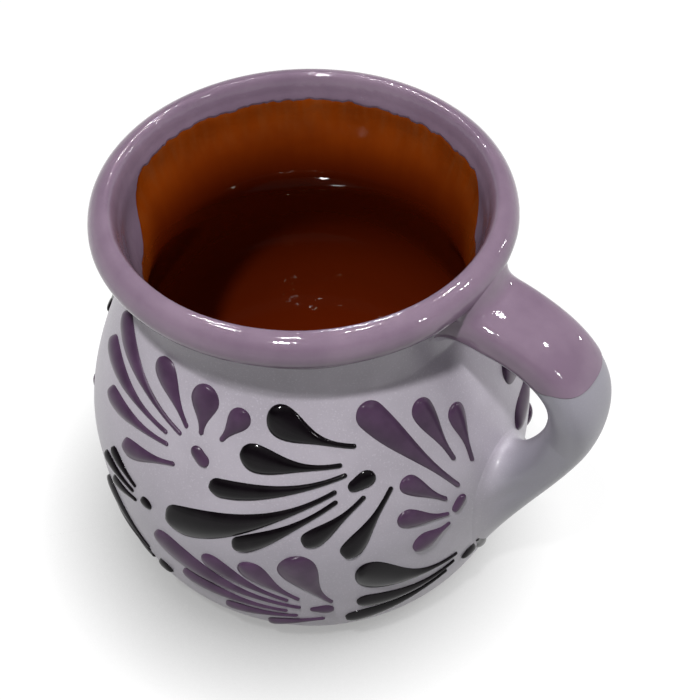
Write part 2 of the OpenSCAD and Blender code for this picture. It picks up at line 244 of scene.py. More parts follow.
# Red earthenware, fired bare: dry, gritty and warm, with pale specks of temper
def redClay():
    look = {"light": "#b96c44", "dark": "#a1582f", "blotched": (0.35, 0.65), "blotch": 9 * mm,
            "speck": "#d9a07a", "specked": (0.62, 0.72), "grit": 0.7 * mm}
    material, tree = newMaterial("redEarthenwareBare")
    place = addNode(tree, "ShaderNodeTexCoord").outputs["Object"]
    blotch, grit = (
        addNode(tree, "ShaderNodeTexNoise", None,
                {"Vector": place, "Scale": 1 / look[size], "Detail": detail}).outputs["Fac"]
        for size, detail in (("blotch", 4.0), ("grit", 3.0)))
    body = addNode(tree, "ShaderNodeValToRGB", None, {"Fac": blotch},
                   zip(look["blotched"], (look["dark"], look["light"])))
    speck = addNode(tree, "ShaderNodeValToRGB", None, {"Fac": grit}, zip(look["specked"], offOn))
    colour = addNode(tree, "ShaderNodeMix", {"data_type": "RGBA"}, {
        "Factor": speck.outputs["Color"], colourA: body.outputs["Color"], colourB: toLinear(look["speck"])})
    bump = addNode(tree, "ShaderNodeBump", None, {"Height": grit, "Strength": 0.5, "Distance": 0.15 * mm})
    shader = addNode(tree, "ShaderNodeBsdfPrincipled", None, {
        "Base Color": colour.outputs[mixed], "Roughness": 0.88, "IOR": 1.5, "Normal": bump.outputs["Normal"]})
    addNode(tree, "ShaderNodeOutputMaterial", None, {"Surface": shader.outputs["BSDF"]})
    return material


# Lilac slip under a thin clear glaze: satin, faintly cloudy with fine bright grains; darker away from the
# axis, partly a greyer tone and partly painted shade
def lilacSlip():
    look = {"light": "#c3bcc7", "dark": "#b7b0bb", "clouded": (0.36, 0.64), "cloud": 16 * mm,
            "grain": "#cdc7d1", "grained": (0.56, 0.75),
            "grit": 0.4 * mm,  # finer on a real mug, drawn as coarse as it needs to show
            "rough": (0.5, 0.36),  # between the grains and on them
            "swell": 5 * mm,  # the unevenness of the dipped coat
            # painted shade, partly a greyer tone too: away from the axis the slip darkens towards this
            # colour, most on the strap, a little at the belly's widest
            "strap": "#8f8e98",
            "strapShadeFrom": (48 * mm, 58 * mm),  # distances from the pot's axis
            "strapShadeShare": 0.8}
    material, tree = newMaterial("lilacSlipSatin")
    place = addNode(tree, "ShaderNodeTexCoord").outputs["Object"]
    cloud, grit, swell = (
        addNode(tree, "ShaderNodeTexNoise", None,
                {"Vector": place, "Scale": 1 / look[size], "Detail": detail}).outputs["Fac"]
        for size, detail in (("cloud", 5.0), ("grit", 2.0), ("swell", 2.0)))
    body = addNode(tree, "ShaderNodeValToRGB", None, {"Fac": cloud},
                   zip(look["clouded"], (look["dark"], look["light"])))
    shine = addNode(tree, "ShaderNodeValToRGB", None, {"Fac": grit}, zip(look["grained"], offOn))
    grainy = addNode(tree, "ShaderNodeMix", {"data_type": "RGBA"}, {
        "Factor": shine.outputs["Color"], colourA: body.outputs["Color"], colourB: toLinear(look["grain"])})
    flat = addNode(tree, "ShaderNodeVectorMath", {"operation": "MULTIPLY"}, {0: place, 1: (1, 1, 0)})
    away = addNode(tree, "ShaderNodeVectorMath", {"operation": "LENGTH"}, {0: flat.outputs["Vector"]})
    # painted shade: the share of the darker strap colour grows with distance from the axis
    strapShade = addNode(tree, "ShaderNodeMapRange", {"interpolation_type": "SMOOTHSTEP"}, {
        "Value": away.outputs["Value"], "From Min": look["strapShadeFrom"][0], "From Max": look["strapShadeFrom"][1],
        "To Max": look["strapShadeShare"]})
    colour = addNode(tree, "ShaderNodeMix", {"data_type": "RGBA"}, {
        "Factor": strapShade.outputs["Result"], colourA: grainy.outputs[mixed],
        colourB: toLinear(look["strap"])})
    rough = addNode(tree, "ShaderNodeMapRange", None, {
        "Value": grit, "To Min": look["rough"][0], "To Max": look["rough"][1]})
    fine = addNode(tree, "ShaderNodeBump", None, {"Height": grit, "Strength": 0.1, "Distance": 0.06 * mm})
    bump = addNode(tree, "ShaderNodeBump", None, {
        "Height": swell, "Strength": 0.2, "Distance": 0.25 * mm, "Normal": fine.outputs["Normal"]})
    shader = addNode(tree, "ShaderNodeBsdfPrincipled", None, {
        "Base Color": colour.outputs[mixed], "Roughness": rough.outputs["Result"], "IOR": 1.5,
        "Coat Weight": 0.25, "Coat Roughness": 0.22, "Normal": bump.outputs["Normal"]})
    addNode(tree, "ShaderNodeOutputMaterial", None, {"Surface": shader.outputs["BSDF"]})
    return material


# Mauve glaze, poured: wet gloss, a little paler where it is thin, with an orange-peel skin
def mauveGlaze():
    look = {"thick": "#826d81", "thin": "#917c8f", "clouded": (0.35, 0.7), "cloud": 12 * mm, "peel": 1.8 * mm,
            "grain": 0.55 * mm}  # finer on a real mug, drawn as coarse as it needs to show
    material, tree = newMaterial("mauveGlazePoured")
    place = addNode(tree, "ShaderNodeTexCoord").outputs["Object"]
    cloud, peel, grain = (
        addNode(tree, "ShaderNodeTexNoise", None,
                {"Vector": place, "Scale": 1 / look[size], "Detail": detail}).outputs["Fac"]
        for size, detail in (("cloud", 4.0), ("peel", 1.0), ("grain", 1.0)))
    body = addNode(tree, "ShaderNodeValToRGB", None, {"Fac": cloud},
                   zip(look["clouded"], (look["thick"], look["thin"])))
    fine = addNode(tree, "ShaderNodeBump", None, {"Height": grain, "Strength": 0.3, "Distance": 0.05 * mm})
    bump = addNode(tree, "ShaderNodeBump", None, {
        "Height": peel, "Strength": 0.4, "Distance": 0.12 * mm, "Normal": fine.outputs["Normal"]})
    shader = addNode(tree, "ShaderNodeBsdfPrincipled", None, {
        "Base Color": body.outputs["Color"], "Roughness": 0.05, "IOR": 1.45,
        "Normal": bump.outputs["Normal"]})
    addNode(tree, "ShaderNodeOutputMaterial", None, {"Surface": shader.outputs["BSDF"]})
    return material


# Clear amber glaze over red clay: orange where it is thin at the mouth, deep red brown further in, partly
# glaze that pools thicker and partly painted shade
def amberGlaze():
    look = {"thin": "#984209", "mouth": "#823607", "clouded": (0.35, 0.7), "cloud": 10 * mm,
            "deepShaded": "#601d04", "depth": 19 * mm,  # painted shade, partly thicker glaze: it is darkest from here below the mauve edge
            "haze": "#87502c", "hazed": (0.3, 0.8), "hazeShare": 0.4,  # pale runs just below that edge
            "run": 11 * mm, "streak": 1.7 * mm, "drawnOut": 0.12,
            "ripple": 6 * mm, "pucker": 1.4 * mm,
            "skin": (0.7, 0.12), "skinTo": 9 * mm}  # how puckered it is at the edge, and from here down
    material, tree = newMaterial("amberGlazeOverClay")
    place = addNode(tree, "ShaderNodeTexCoord").outputs["Object"]
    below = addNode(tree, "ShaderNodeAttribute", {"attribute_name": "belowMauve"}).outputs["Fac"]
    drawn = addNode(tree, "ShaderNodeMapping", None, {"Vector": place, "Scale": (1, 1, look["drawnOut"])})
    cloud, ripple, pucker, streak = (
        addNode(tree, "ShaderNodeTexNoise", None,
                {"Vector": spot, "Scale": 1 / look[size], "Detail": detail}).outputs["Fac"]
        for size, detail, spot in (("cloud", 5.0, place), ("ripple", 1.5, place), ("pucker", 1.0, place),
                                   ("streak", 3.0, drawn.outputs["Vector"])))
    body = addNode(tree, "ShaderNodeValToRGB", None, {"Fac": cloud},
                   zip(look["clouded"], (look["mouth"], look["thin"])))
    # painted shade, partly glaze pooling thicker: darker with depth below the mauve edge
    shallowLit = addNode(tree, "ShaderNodeMapRange", {"interpolation_type": "SMOOTHSTEP"}, {
        "Value": below, "From Min": look["depth"], "From Max": 0.0})
    glaze = addNode(tree, "ShaderNodeMix", {"data_type": "RGBA"}, {
        "Factor": shallowLit.outputs["Result"], colourA: toLinear(look["deepShaded"]), colourB: body.outputs["Color"]})
    fade = addNode(tree, "ShaderNodeMapRange", {"interpolation_type": "SMOOTHSTEP"}, {
        "Value": below, "From Min": 0.0, "From Max": look["run"], "To Min": look["hazeShare"], "To Max": 0.0})
    run = addNode(tree, "ShaderNodeMapRange", {"interpolation_type": "SMOOTHSTEP"}, {
        "Value": streak, "From Min": look["hazed"][0], "From Max": look["hazed"][1],
        "To Max": fade.outputs["Result"]})
    colour = addNode(tree, "ShaderNodeMix", {"data_type": "RGBA"}, {
        "Factor": run.outputs["Result"], colourA: glaze.outputs[mixed], colourB: toLinear(look["haze"])})
    skin = addNode(tree, "ShaderNodeMapRange", {"interpolation_type": "SMOOTHSTEP"}, {
        "Value": below, "From Min": 0.0, "From Max": look["skinTo"], "To Min": look["skin"][0],
        "To Max": look["skin"][1]})
    fine = addNode(tree, "ShaderNodeBump", None, {
        "Height": pucker, "Strength": skin.outputs["Result"], "Distance": 0.1 * mm})
    bump = addNode(tree, "ShaderNodeBump", None, {
        "Height": ripple, "Strength": 0.12, "Distance": 0.3 * mm, "Normal": fine.outputs["Normal"]})
    shader = addNode(tree, "ShaderNodeBsdfPrincipled", None, {
        "Base Color": colour.outputs[mixed], "Roughness": 0.03, "IOR": 1.5, "Normal": bump.outputs["Normal"]})
    addNode(tree, "ShaderNodeOutputMaterial", None, {"Surface": shader.outputs["BSDF"]})
    return material


# Slip trailed from a bulb and glazed over: glossy pillows, a little uneven in colour
def trailedSlip(name, dark, light, rough, gloss):
    look = {"clouded": (0.35, 0.68), "cloud": 5 * mm, "peel": 2.2 * mm}
    material, tree = newMaterial(name)
    place = addNode(tree, "ShaderNodeTexCoord").outputs["Object"]
    cloud, peel = (
        addNode(tree, "ShaderNodeTexNoise", None,
                {"Vector": place, "Scale": 1 / look[size], "Detail": detail}).outputs["Fac"]
        for size, detail in (("cloud", 4.0), ("peel", 1.0)))
    body = addNode(tree, "ShaderNodeValToRGB", None, {"Fac": cloud}, zip(look["clouded"], (dark, light)))
    bump = addNode(tree, "ShaderNodeBump", None, {"Height": peel, "Strength": 0.15, "Distance": 0.1 * mm})
    shader = addNode(tree, "ShaderNodeBsdfPrincipled", None, {
        "Base Color": body.outputs["Color"], "Roughness": rough, "IOR": 1.5, "Specular IOR Level": gloss,
        "Normal": bump.outputs["Normal"]})
    addNode(tree, "ShaderNodeOutputMaterial", None, {"Surface": shader.outputs["BSDF"]})
    return material


clay = redClay()
lilac = lilacSlip()
mauve = mauveGlaze()
amber = amberGlaze()
violet = trailedSlip("violetSlipTrailed", "#442f47", "#543c57", 0.3, 0.25)
black = trailedSlip("blackSlipTrailed", "#0a060a", "#140f14", 0.1, 0.15)
print("materials made")


# The clay under the coats, bare at the foot
def clayOutline(angle):
    depth = pot["coat"] * np.minimum(1, outside[:, 1] / pot["bareFoot"])
    shell = inset(outside, depth)
    shell[0] = outside[0]
    core = inset(inside, np.full(len(inside), pot["coat"]))
    core[:, 0] = np.maximum(core[:, 0], 0)
    core[-1, 0] = 0
    under = np.linspace((0, 0), (pot["footRadius"], 0), pot["steps"]["under"])
    return np.vstack((under[:-1], shell[:-1], core))


clayPot = turned("clayPot", clayOutline, clay)
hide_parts("pot_wall")
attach(clayPot, "root")
print("clay pot turned")


# Where the mauve coat ends, outside on the collar and inside the mouth
mauveEdge = {
    "skirt": 88 * mm,
    "skirtWave": (0.35 * mm, 9 * mm, 3.1),  # how far the skirt wavers, over what length, and the noise's seed
    "far": 94.2 * mm,  # the band inside ends high round this angle
    "farAngle": math.radians(121),
    "farFade": 0.33,
    "near": 83.6 * mm,  # and low elsewhere, with a tilt towards another angle
    "nearTilt": (2 * mm, math.radians(20)),
    "ragged": 0.7 * mm,
    "tears": [(1.0, 7 * mm, 11.3), (0.8, 2.2 * mm, 17.9), (0.5, 0.9 * mm, 5.7)],  # share, length and seed
    "groove": (4.6 * mm, 0.9 * mm, 0.06 * mm),  # how far in from the crest, half width, depth
    "proud": 0.18 * mm,
    "ease": 0.5 * mm,  # from each edge, the length over which the coat comes to its thickness
    "flush": (94 * mm, 4 * mm),  # above this height it thins away again, over this much
    "bead": (0.28 * mm, 0.6 * mm, 0.45 * mm),  # the thick lower edge: how thick, how far in, half width
    "strapSide": (0.22, 0.16),  # radians from the strap: flat within the first, thickening over the second
    "overlap": 1.6 * mm,
}

# How finely the coats are turned, and how thick the glazes are beside the slip
coats = {"slipRows": 150, "rimRows": 130, "rimThick": 0.8, "amberRows": 150, "amberThick": 0.6}


def edgeNoise(angle, size, seed):  # a wavering line round the pot, size is its wavelength
    k = pot["neckRadius"] / size
    return noise.noise(Vector((math.cos(angle) * k, math.sin(angle) * k, seed)))


def skirtZ(angle):
    most, size, seed = mauveEdge["skirtWave"]
    return mauveEdge["skirt"] + most * edgeNoise(angle, size, seed)


def bandZ(angle):
    e = mauveEdge
    share = float(smooth(math.cos(angle - e["farAngle"]) / e["farFade"]))
    low = e["near"] + e["nearTilt"][0] * math.cos(angle - e["nearTilt"][1])
    torn = sum(part * edgeNoise(angle, size, seed) for part, size, seed in e["tears"])
    return low + (e["far"] - low) * share + e["ragged"] * torn


def slipOutline(angle):
    start = lengthAt(outside, pot["bareFoot"], 0, crest)
    end = lengthAt(outside, skirtZ(angle) + mauveEdge["overlap"], 0, widest)
    skin = cutLine(outside, start, end, coats["slipRows"])
    back = inset(skin, np.full(len(skin), pot["coat"]))
    return np.vstack((skin, back[::-1]))


lilacCoat = turned("lilacSlipCoat", slipOutline, lilac)
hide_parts("slip_coat")
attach(lilacCoat, "root")
print("slip coat turned")


def rimOutline(angle):
    e = mauveEdge
    line = np.vstack((outside, inside[1:]))
    start = lengthAt(line, skirtZ(angle), 0, widest)
    end = lengthAt(line, bandZ(angle), crest, crest + waistStep)
    skin = cutLine(line, start, end, coats["rimRows"])
    length = lengths(skin)
    lift = e["proud"] * smooth(length / e["ease"]) * smooth((length[-1] - length) / e["ease"])
    lift = lift * (1 - smooth((skin[:, 1] - e["flush"][0]) / e["flush"][1]))
    lift = lift + e["bead"][0] * np.exp(-((length - e["bead"][1]) / e["bead"][2]) ** 2)
    lift = lift * smooth((abs(math.remainder(angle, 2 * math.pi)) - e["strapSide"][0]) / e["strapSide"][1])
    inward = length - (lengthAt(line, pot["height"], 0, crest) - start)
    lift = lift - e["groove"][2] * np.exp(-((inward - e["groove"][0]) / e["groove"][1]) ** 2)
    front = inset(skin, -lift)
    back = inset(skin, np.full(len(skin), pot["coat"] * coats["rimThick"]))
    return np.vstack((front, back[::-1]))


mauveRim = turned("mauveRimGlaze", rimOutline, mauve)
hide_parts("rim_glaze")
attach(mauveRim, "root")
print("rim glazed")


def amberOutline(angle):
    start = lengthAt(inside, bandZ(angle) + mauveEdge["overlap"], 0, waistStep)
    skin = cutLine(inside, start, lengths(inside)[-1], coats["amberRows"])
    skin = inset(skin, pot["coat"] * smooth((skin[:, 1] - bandZ(angle)) / mauveEdge["overlap"]))
    skin[-1] = (0, pot["floor"])
    back = inset(skin, np.full(len(skin), pot["coat"] * coats["amberThick"]))
    back[:, 0] = np.maximum(back[:, 0], 0)
    back[-1, 0] = 0
    return np.vstack((skin, back[::-1]))


amberCoat = turned("amberInsideGlaze", amberOutline, amber)
edges = {k: bandZ(2 * math.pi * k / pot["segments"]) for k in range(pot["segments"])}
below = amberCoat.data.attributes.new("belowMauve", "FLOAT", "POINT")  # how far below the mauve edge
for spot, vertex in zip(below.data, amberCoat.data.vertices):
    turn = round(math.atan2(vertex.co.y, vertex.co.x) / (2 * math.pi) * pot["segments"])
    spot.value = edges[turn % pot["segments"]] - vertex.co.z
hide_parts("inside_glaze")
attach(amberCoat, "root")
print("inside glazed")


# The pulled strap, and how wide it spreads where it is luted on
strap = {
    "topDrop": 12.2 * mm,
    "lowZ": 38 * mm,
    "topRun": 27.5 * mm,  # how far its curve is pulled out from each root
    "lowRun": 42.5 * mm,
    "lowAngle": math.radians(48),
    "topHalf": (8.8 * mm, 4.5 * mm),  # half width and half thickness
    "lowHalf": (6.0 * mm, 4.2 * mm),
    "waist": (0.5, 0.8),  # along the strap, from where to where it narrows
    "square": (3.4, 2.3),  # how squarely its section is rounded, at the top and further down
    "squareRun": 0.7,
    "topStart": (0.10, 0.12),  # where the strap's own section begins, over and under
    "lowEnd": (0.77, 0.64),
    "topFlare": 0.9 * mm,
    "lowFlare": 2.0 * mm,
    "flareRun": 0.25,
    "flareLift": 0.5,  # it thickens by this share of what it widens
    "topSpread": (12.6 * mm, 12.0 * mm, 8.6 * mm),  # to each side, up and down the wall from the root
    "lowSpread": (12.0 * mm, 12.5 * mm, 28.0 * mm),
    "sides": 96,
    "rows": (22, 110, 26),
    "sink": 0.35 * mm,
    "topSink": 0.15 * mm,
    "lap": 0.6 * mm,  # how far its buried edge reaches on under the slip
    "elbow": (2.06, 0.4, 2.1 * mm),  # clay left thick in the lower bend: where, how long, how much
    "elbowFrom": (0.3, 0.5),  # it starts this far round to the under face, and over the next it is full
    "elbowWay": (-1.0, 0, 0.25),  # towards the pot and a little up
}
topRoot = np.array((float(wallRadius(pot["height"] - strap["topDrop"])), pot["height"] - strap["topDrop"]))
lowRoot = np.array((float(wallRadius(strap["lowZ"])), strap["lowZ"]))
strapLine = (topRoot, topRoot + (strap["topRun"], 0),
             lowRoot + strap["lowRun"] * np.array((math.cos(strap["lowAngle"]), math.sin(strap["lowAngle"]))),
             lowRoot)


def strapPoint(t, turn):  # a point of the strap's skin, turn 0 is its outer face
    a, b, c, d = strapLine
    t = np.asarray(t, float)[..., None]
    centre = (1 - t) ** 3 * a + 3 * t * (1 - t) ** 2 * b + 3 * t * t * (1 - t) * c + t ** 3 * d
    run = (1 - t) ** 2 * (b - a) + 2 * t * (1 - t) * (c - b) + t * t * (d - c)
    run = run / np.linalg.norm(run, axis=-1)[..., None]
    t = t[..., 0]
    waist = smooth((t - strap["waist"][0]) / (strap["waist"][1] - strap["waist"][0]))
    half = [strap["topHalf"][i] + (strap["lowHalf"][i] - strap["topHalf"][i]) * waist for i in (0, 1)]
    flare = (strap["topFlare"] * np.maximum(0, 1 - t / strap["flareRun"]) ** 2
             + strap["lowFlare"] * np.maximum(0, 1 - (1 - t) / strap["flareRun"]) ** 2)
    square = strap["square"][0] + (strap["square"][1] - strap["square"][0]) * smooth(t / strap["squareRun"])
    power = 2 / square
    lift = (half[1] + flare * strap["flareLift"]) * np.sign(np.cos(turn)) * np.abs(np.cos(turn)) ** power
    side = (half[0] + flare) * np.sign(np.sin(turn)) * np.abs(np.sin(turn)) ** power
    point = np.stack((centre[..., 0] - run[..., 1] * lift, side, centre[..., 1] + run[..., 0] * lift), -1)
    return point, np.stack((run[..., 0], 0 * side, run[..., 1]), -1)


def footPoint(root, spread, turn, outer, sink=0.0, wide=0.0):
    # a point of the ring where the strap's fillet runs out on the wall, and the way it runs out
    skin = inset(outside, np.full(len(outside), sink))
    length = lengths(skin)
    middle = np.interp(root[1], outside[:widest + 1, 1], length[:widest + 1])
    angle = np.sin(turn) * (spread[0] + wide) / root[0]
    climb = np.cos(turn) * outer
    climb = climb * np.where(climb > 0, spread[1] + wide, spread[2] + wide)
    found = []
    for grow in (1.0, 1.02):  # the ring and a slightly wider one
        at = middle + climb * grow
        r, z = (np.interp(at, length, skin[:, i]) for i in (0, 1))
        found.append(np.stack((r * np.cos(angle * grow), r * np.sin(angle * grow), z), -1))
    way = found[1] - found[0]
    return found[0], way / np.linalg.norm(way, axis=1)[:, None]


def hermite(p, q, m, n, s):
    return ((2 * s ** 3 - 3 * s * s + 1) * p + (s ** 3 - 2 * s * s + s) * m
            + (3 * s * s - 2 * s ** 3) * q + (s ** 3 - s * s) * n)


def strapRow(s, turn):
    # s runs 0 to 1 over the upper fillet, to 2 along the strap, to 3 over the lower fillet
    under = (1 - np.cos(turn)) / 2
    first = strap["topStart"][0] + (strap["topStart"][1] - strap["topStart"][0]) * under
    last = strap["lowEnd"][0] + (strap["lowEnd"][1] - strap["lowEnd"][0]) * under
    if s < 1:
        p, run = strapPoint(first, turn)
        q, way = footPoint(topRoot, strap["topSpread"], turn, 1, strap["topSink"])
        gap = np.linalg.norm(p - q, axis=1)[:, None]
        return hermite(q, p, -way * gap, run * gap, s)
    at, over, most = strap["elbow"]
    begin, grow = strap["elbowFrom"]
    inner = most * math.exp(-((s - at) / over) ** 2) * smooth((under - begin) / grow)
    inner = inner[:, None] * np.array(strap["elbowWay"])
    if s <= 2:
        return strapPoint(first + (last - first) * (s - 1), turn)[0] + inner
    p, run = strapPoint(last, turn)
    q, way = footPoint(lowRoot, strap["lowSpread"], turn, -1)
    gap = np.linalg.norm(p - q, axis=1)[:, None]
    return hermite(p, q, run * gap, way * gap, s - 2) + inner * (3 - s)


def tubeFaces(rows, sides):
    faces = []
    for i in range(0, (rows - 1) * sides, sides):
        for j in range(sides):
            n = (j + 1) % sides
            faces.append((i + j, i + n, i + sides + n, i + sides + j))
    return faces + [tuple(range(sides))[::-1], tuple((rows - 1) * sides + j for j in range(sides))]


def strapMesh():
    turn = np.linspace(0, 2 * math.pi, strap["sides"], endpoint=False)
    top, run, low = strap["rows"]
    steps = np.concatenate((np.linspace(0, 1, top), np.linspace(1, 2, run)[1:], np.linspace(2, 3, low)[1:]))
    rings = [strapRow(s, turn) for s in steps]
    start = footPoint(topRoot, strap["topSpread"], turn, 1, strap["sink"], strap["lap"])[0]
    end = footPoint(lowRoot, strap["lowSpread"], turn, -1, strap["sink"], strap["lap"])[0]
    return [start] + rings + [end]


rings = strapMesh()
strapFaces = tubeFaces(len(rings), strap["sides"])
handleStrap = makePiece("handleStrap", np.vstack(rings), strapFaces, lilac, sharp=70)
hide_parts("handle")
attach(handleStrap, "root")
print("handle pulled")


# The mauve glaze that runs from the lip down the strap
tongue = {
    "shoulder": 1.33,  # on the scale of strapRow, where its end begins to round off
    "end": 1.50,
    "wrap": math.radians(112),
    "thick": 0.22 * mm,
    "under": 0.3 * mm,
    "edge": 1.1 * mm,
    "tuck": 0.1 * mm,  # its edges dip this far into the slip
    "film": 0.03 * mm,  # and at the lip it begins this thin
    "start": 0.3,
    "rows": (20, 30, 42),
    "tip": 0.985,  # its rounded end stops a hair short of closing
    "narrowest": 0.01,  # as a share of the wrap
    "across": 64,
}


def tongueSkin():
    top, straight, tip = tongue["rows"]
    taper = tongue["end"] - tongue["shoulder"]
    rounded = np.sin(np.linspace(0, math.pi / 2 * tongue["tip"], tip))
    steps = np.concatenate((np.linspace(0, 1, top)[:-1], np.linspace(1, tongue["shoulder"], straight)[:-1],
                            tongue["shoulder"] + taper * rounded))
    ds, da = 0.004, 0.01  # steps along and round the strap that give its slope
    rings = []
    for s in steps:
        out = max(0, (s - tongue["shoulder"]) / taper)
        reach = tongue["wrap"] * max(math.sqrt(max(1 - out * out, 0)), tongue["narrowest"])
        turn = np.linspace(-reach, reach, tongue["across"] + 1)
        here = strapRow(s, turn)
        along = strapRow(min(s + ds, 3), turn) - strapRow(max(s - ds, 0), turn)
        over = strapRow(s, turn + da) - strapRow(s, turn - da)
        normal = np.cross(along, over)
        normal /= np.maximum(np.linalg.norm(normal, axis=1), 1e-12)[:, None]
        left = lengths(here)
        edge = np.minimum(left, left[-1] - left)
        lift = -tongue["tuck"] + (tongue["thick"] + tongue["tuck"]) * smooth(edge / tongue["edge"])
        lift = np.minimum(lift, tongue["film"] + tongue["thick"] * smooth(s / tongue["start"]))
        bottom = here - normal * tongue["under"]
        rings.append(np.vstack((here + normal * lift[:, None], bottom[::-1])))
    return rings


rings = tongueSkin()
tongueFaces = tubeFaces(len(rings), len(rings[0]))
tongueGlaze = makePiece("handleGlazeTongue", np.vstack(rings), tongueFaces, mauve, sharp=70)
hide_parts("handle_glaze")
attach(tongueGlaze, "root")
print("handle glazed")


# Strokes are (tail angle, tail height, head angle, head height, half width of the head, bend, swell), in
# degrees and mm, and a greater swell keeps the tail thin for longer. Dots are (angle and height of the thin
# end, angle and height of the thick end, half width of each)
trail = {
    "tail": 0.6 * mm,
    "rise": 1.15 * mm,
    "fullWidth": 3.2 * mm,  # half width at which a stroke has its full rise
    "seat": 0.2 * mm,
    "dome": 1.7,
    "sides": 28,
    "rings": 44,
    "rayFrom": 200 * mm,  # from here outside the pot, each point is dropped on the wall
    "rayLength": 300 * mm,
    "farTurn": 175,
    "fill": {"gap": 6, "long": 17, "short": 11, "steep": 140, "dot": 2.1, "dotSpan": 2.8, "swell": 1.5},
}

fans = {
    "violetFansHigh": {
        "node": "violet_fans_high", "slot": "violet_trail", "material": violet,
        "dot": (-88.8, 63.9, -85.6, 61.8, 1.6, 1.7),
        "strokes": [
            (-93, 65, -129, 74, 3.2, 0, 1.7), (-97.5, 63.5, -131, 66.3, 3.1, 0, 1.6),
            (-96.5, 61.2, -122, 59, 2.6, 0, 1.6), (-93.5, 57.8, -110, 52.8, 2.5, 0, 1.6),
            (-91.5, 67, -104.2, 75, 3.1, -0.5, 1.6), (-87, 67, -87.7, 74.2, 3.5, 0, 1.5),
            (-81, 67.3, -76.2, 72.8, 2.5, 0, 1.5)]},
    "blackFansHigh": {
        "node": "black_fans_high", "slot": "black_trail", "material": black,
        "dot": (-47, 58.6, -42.2, 60.2, 1.4, 2.1),
        "strokes": [
            (-43.8, 67.6, -63.3, 74, 3.7, 1, 2.3), (-48, 64.2, -70.8, 65.7, 3.4, 0.7, 2.2),
            (-47, 62, -79.8, 57, 2.5, 0.6, 1.5), (-50, 58.6, -90, 44, 4.4, 0.4, 1.5),
            (-50, 56.3, -73.5, 43.6, 2.5, 0, 2.1), (-43, 56.4, -56.5, 47, 2.5, 0, 2.1),
            (-35.9, 56.9, -47.2, 43, 2.6, -0.2, 2.1)]},
    "violetFansSide": {
        "node": "violet_fans_side", "slot": "violet_trail", "material": violet,
        "dot": (-20, 42.8, -17.6, 44.8, 1.4, 1.6),
        "strokes": [
            (-17.5, 49, -38.8, 72.9, 3.4, -0.8, 1.6), (-17.3, 56, -23, 70.1, 2.8, 0, 1.7),
            (-11.8, 52.5, -12.8, 65.2, 2.5, 0, 2.3), (-21.7, 47.6, -31.3, 55.9, 2.3, 0, 1.6),
            (-21.5, 43.2, -32.9, 47.6, 2.5, 0.2, 1.6), (-21.3, 40.3, -28.5, 38.3, 3.2, 0, 1.6)]},
    "violetFansLow": {
        "node": "violet_fans_low", "slot": "violet_trail", "material": violet,
        "dot": (-58.2, 20.1, -54.2, 19.9, 0.8, 1.9),
        "strokes": [
            (-60.5, 20.8, -95.5, 32, 4.3, 0.7, 1.8), (-63.5, 24, -82, 34, 2.9, 0.5, 2),
            (-60.7, 24.8, -71.8, 34.9, 3.3, 0.4, 2), (-52.5, 23.2, -60, 37.6, 4.5, 1, 1.6),
            (-64, 18.7, -89.5, 22.8, 2.9, 0.4, 1.6), (-61.5, 16.3, -79, 15.3, 2.2, 0, 1.5),
            (-54.5, 14.5, -68, 10.3, 2, -0.6, 1.5)]},
    "blackFansLow": {
        "node": "black_fans_low", "slot": "black_trail", "material": black,
        "dot": (-14.8, 20.3, -12, 20.3, 2, 2.1),
        "strokes": [
            (-17.6, 25.2, -41.4, 33.7, 4.8, 2.9, 2), (-18, 22.3, -43, 21.8, 2.9, 1.7, 1.6),
            (-20, 19.6, -45.6, 13.8, 3, 0.9, 1.6), (-9.5, 23, -5, 16.8, 1.9, 0, 1.3)]},
    "blackSprigs": {
        "node": "black_sprigs", "slot": "black_trail", "material": black,
        "dot": (-103.9, 42, -101.8, 42, 1.5, 1.6),
        "strokes": [
            (-106, 44.2, -116, 46.8, 1.8, 0, 1.5), (-107, 42, -120, 42, 2, 0, 1.5),
            (-106, 39.8, -116, 37.4, 1.8, 0, 1.5)]},
}
fills = {  # angle, height, first and last direction, strokes, half width
    "violetFansFill": {
        "node": "violet_fans_fill", "slot": "violet_trail", "material": violet,
        "fans": [(38, 52, 125, 190, 3, 4.2), (35, 20, 120, 200, 4, 2.9), (200, 24, 60, 195, 5, 2.9)]},
    "blackFansFill": {
        "node": "black_fans_fill", "slot": "black_trail", "material": black,
        "fans": [(200, 57, 60, 195, 5, 2.9), (259, 17, 150, 200, 3, 2.9)]},
}


def wallGuide():  # the outer face of the slip by itself, for the strokes to lie on
    line = outside[:widest + 1]
    run = np.gradient(line, axis=0)
    run /= np.linalg.norm(run, axis=1)[:, None]
    count = pot["segments"] * 2
    vertices, normals = [], []
    for k in range(count):
        a = 2 * math.pi * k / count
        for (r, z), (dr, dz) in zip(line, run):
            r = r + wobble(a, z)
            vertices.append((r * math.cos(a), r * math.sin(a), z))
            normals.append((dz * math.cos(a), dz * math.sin(a), -dr))
    size = len(line)
    faces = [(k * size + i, (k + 1) % count * size + i, (k + 1) % count * size + i + 1, k * size + i + 1)
             for k in range(count) for i in range(size - 1)]
    guide = makePiece("wallGuide", vertices, faces, lilac, sharp=180)
    field = guide.data.attributes.new("wallNormal", "FLOAT_VECTOR", "POINT")
    field.data.foreach_set("vector", np.array(normals, np.float32).ravel())
    return guide


def lean(z):  # how far the wall leans from upright at this height
    return math.atan2(float(wallRadius(z - mm) - wallRadius(min(z + mm, neckZ))), min(z + mm, neckZ) - z + mm)


strokeFields = ("base", "along", "across", "sizes")  # what each stroke tells the tree


